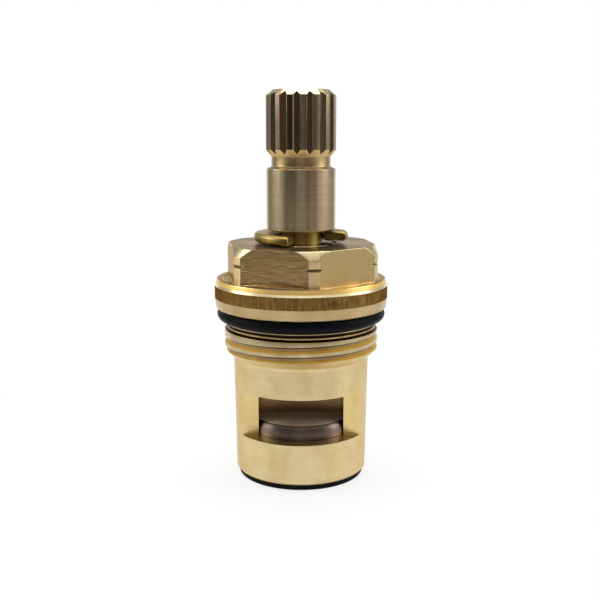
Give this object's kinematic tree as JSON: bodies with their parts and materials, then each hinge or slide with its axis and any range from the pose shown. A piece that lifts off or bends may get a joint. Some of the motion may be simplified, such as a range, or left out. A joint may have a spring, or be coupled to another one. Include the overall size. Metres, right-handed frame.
{
  "type": "ceramic disc tap cartridge",
  "caption": "Brass tap cartridge: a splined quarter-turn spindle in a threaded, flanged housing with a spanner hexagon, and a windowed sleeve that holds ceramic discs.",
  "frame": {"origin": "on the spindle's axis at the underside of the inlet seal, the lowest point of the cartridge", "axes": "+Z along the spindle towards its splined end; -Y is the front, where a window faces"},
  "size_m": [0.027, 0.027, 0.06],
  "materials": {
    "housing_brass": "turned and milled, bare",
    "spindle_brass": "turned, slightly tarnished",
    "clip_brass": "stamped, tumbled",
    "seal_rubber": "moulded, satin",
    "washer_plastic": "smooth",
    "disc_ceramic": "lapped"
  },
  "bodies": {
    "housing": {"housing": "housing_brass", "flange_o_ring": "seal_rubber", "thrust_washer": "washer_plastic", "fixed_disc": "disc_ceramic", "inlet_seal": "seal_rubber"},
    "spindle": {"spindle": "spindle_brass", "retaining_clip": "clip_brass", "upper_spindle_o_ring": "seal_rubber", "lower_spindle_o_ring": "seal_rubber", "moving_disc": "disc_ceramic"}
  },
  "joints": [
    {"name": "spindle_turn", "type": "hinge", "parent": "housing", "child": "spindle", "pos_m": [0, 0, 0.0436], "axis": [0, 0, 1], "range_deg": [-90, 0]}
  ]
}
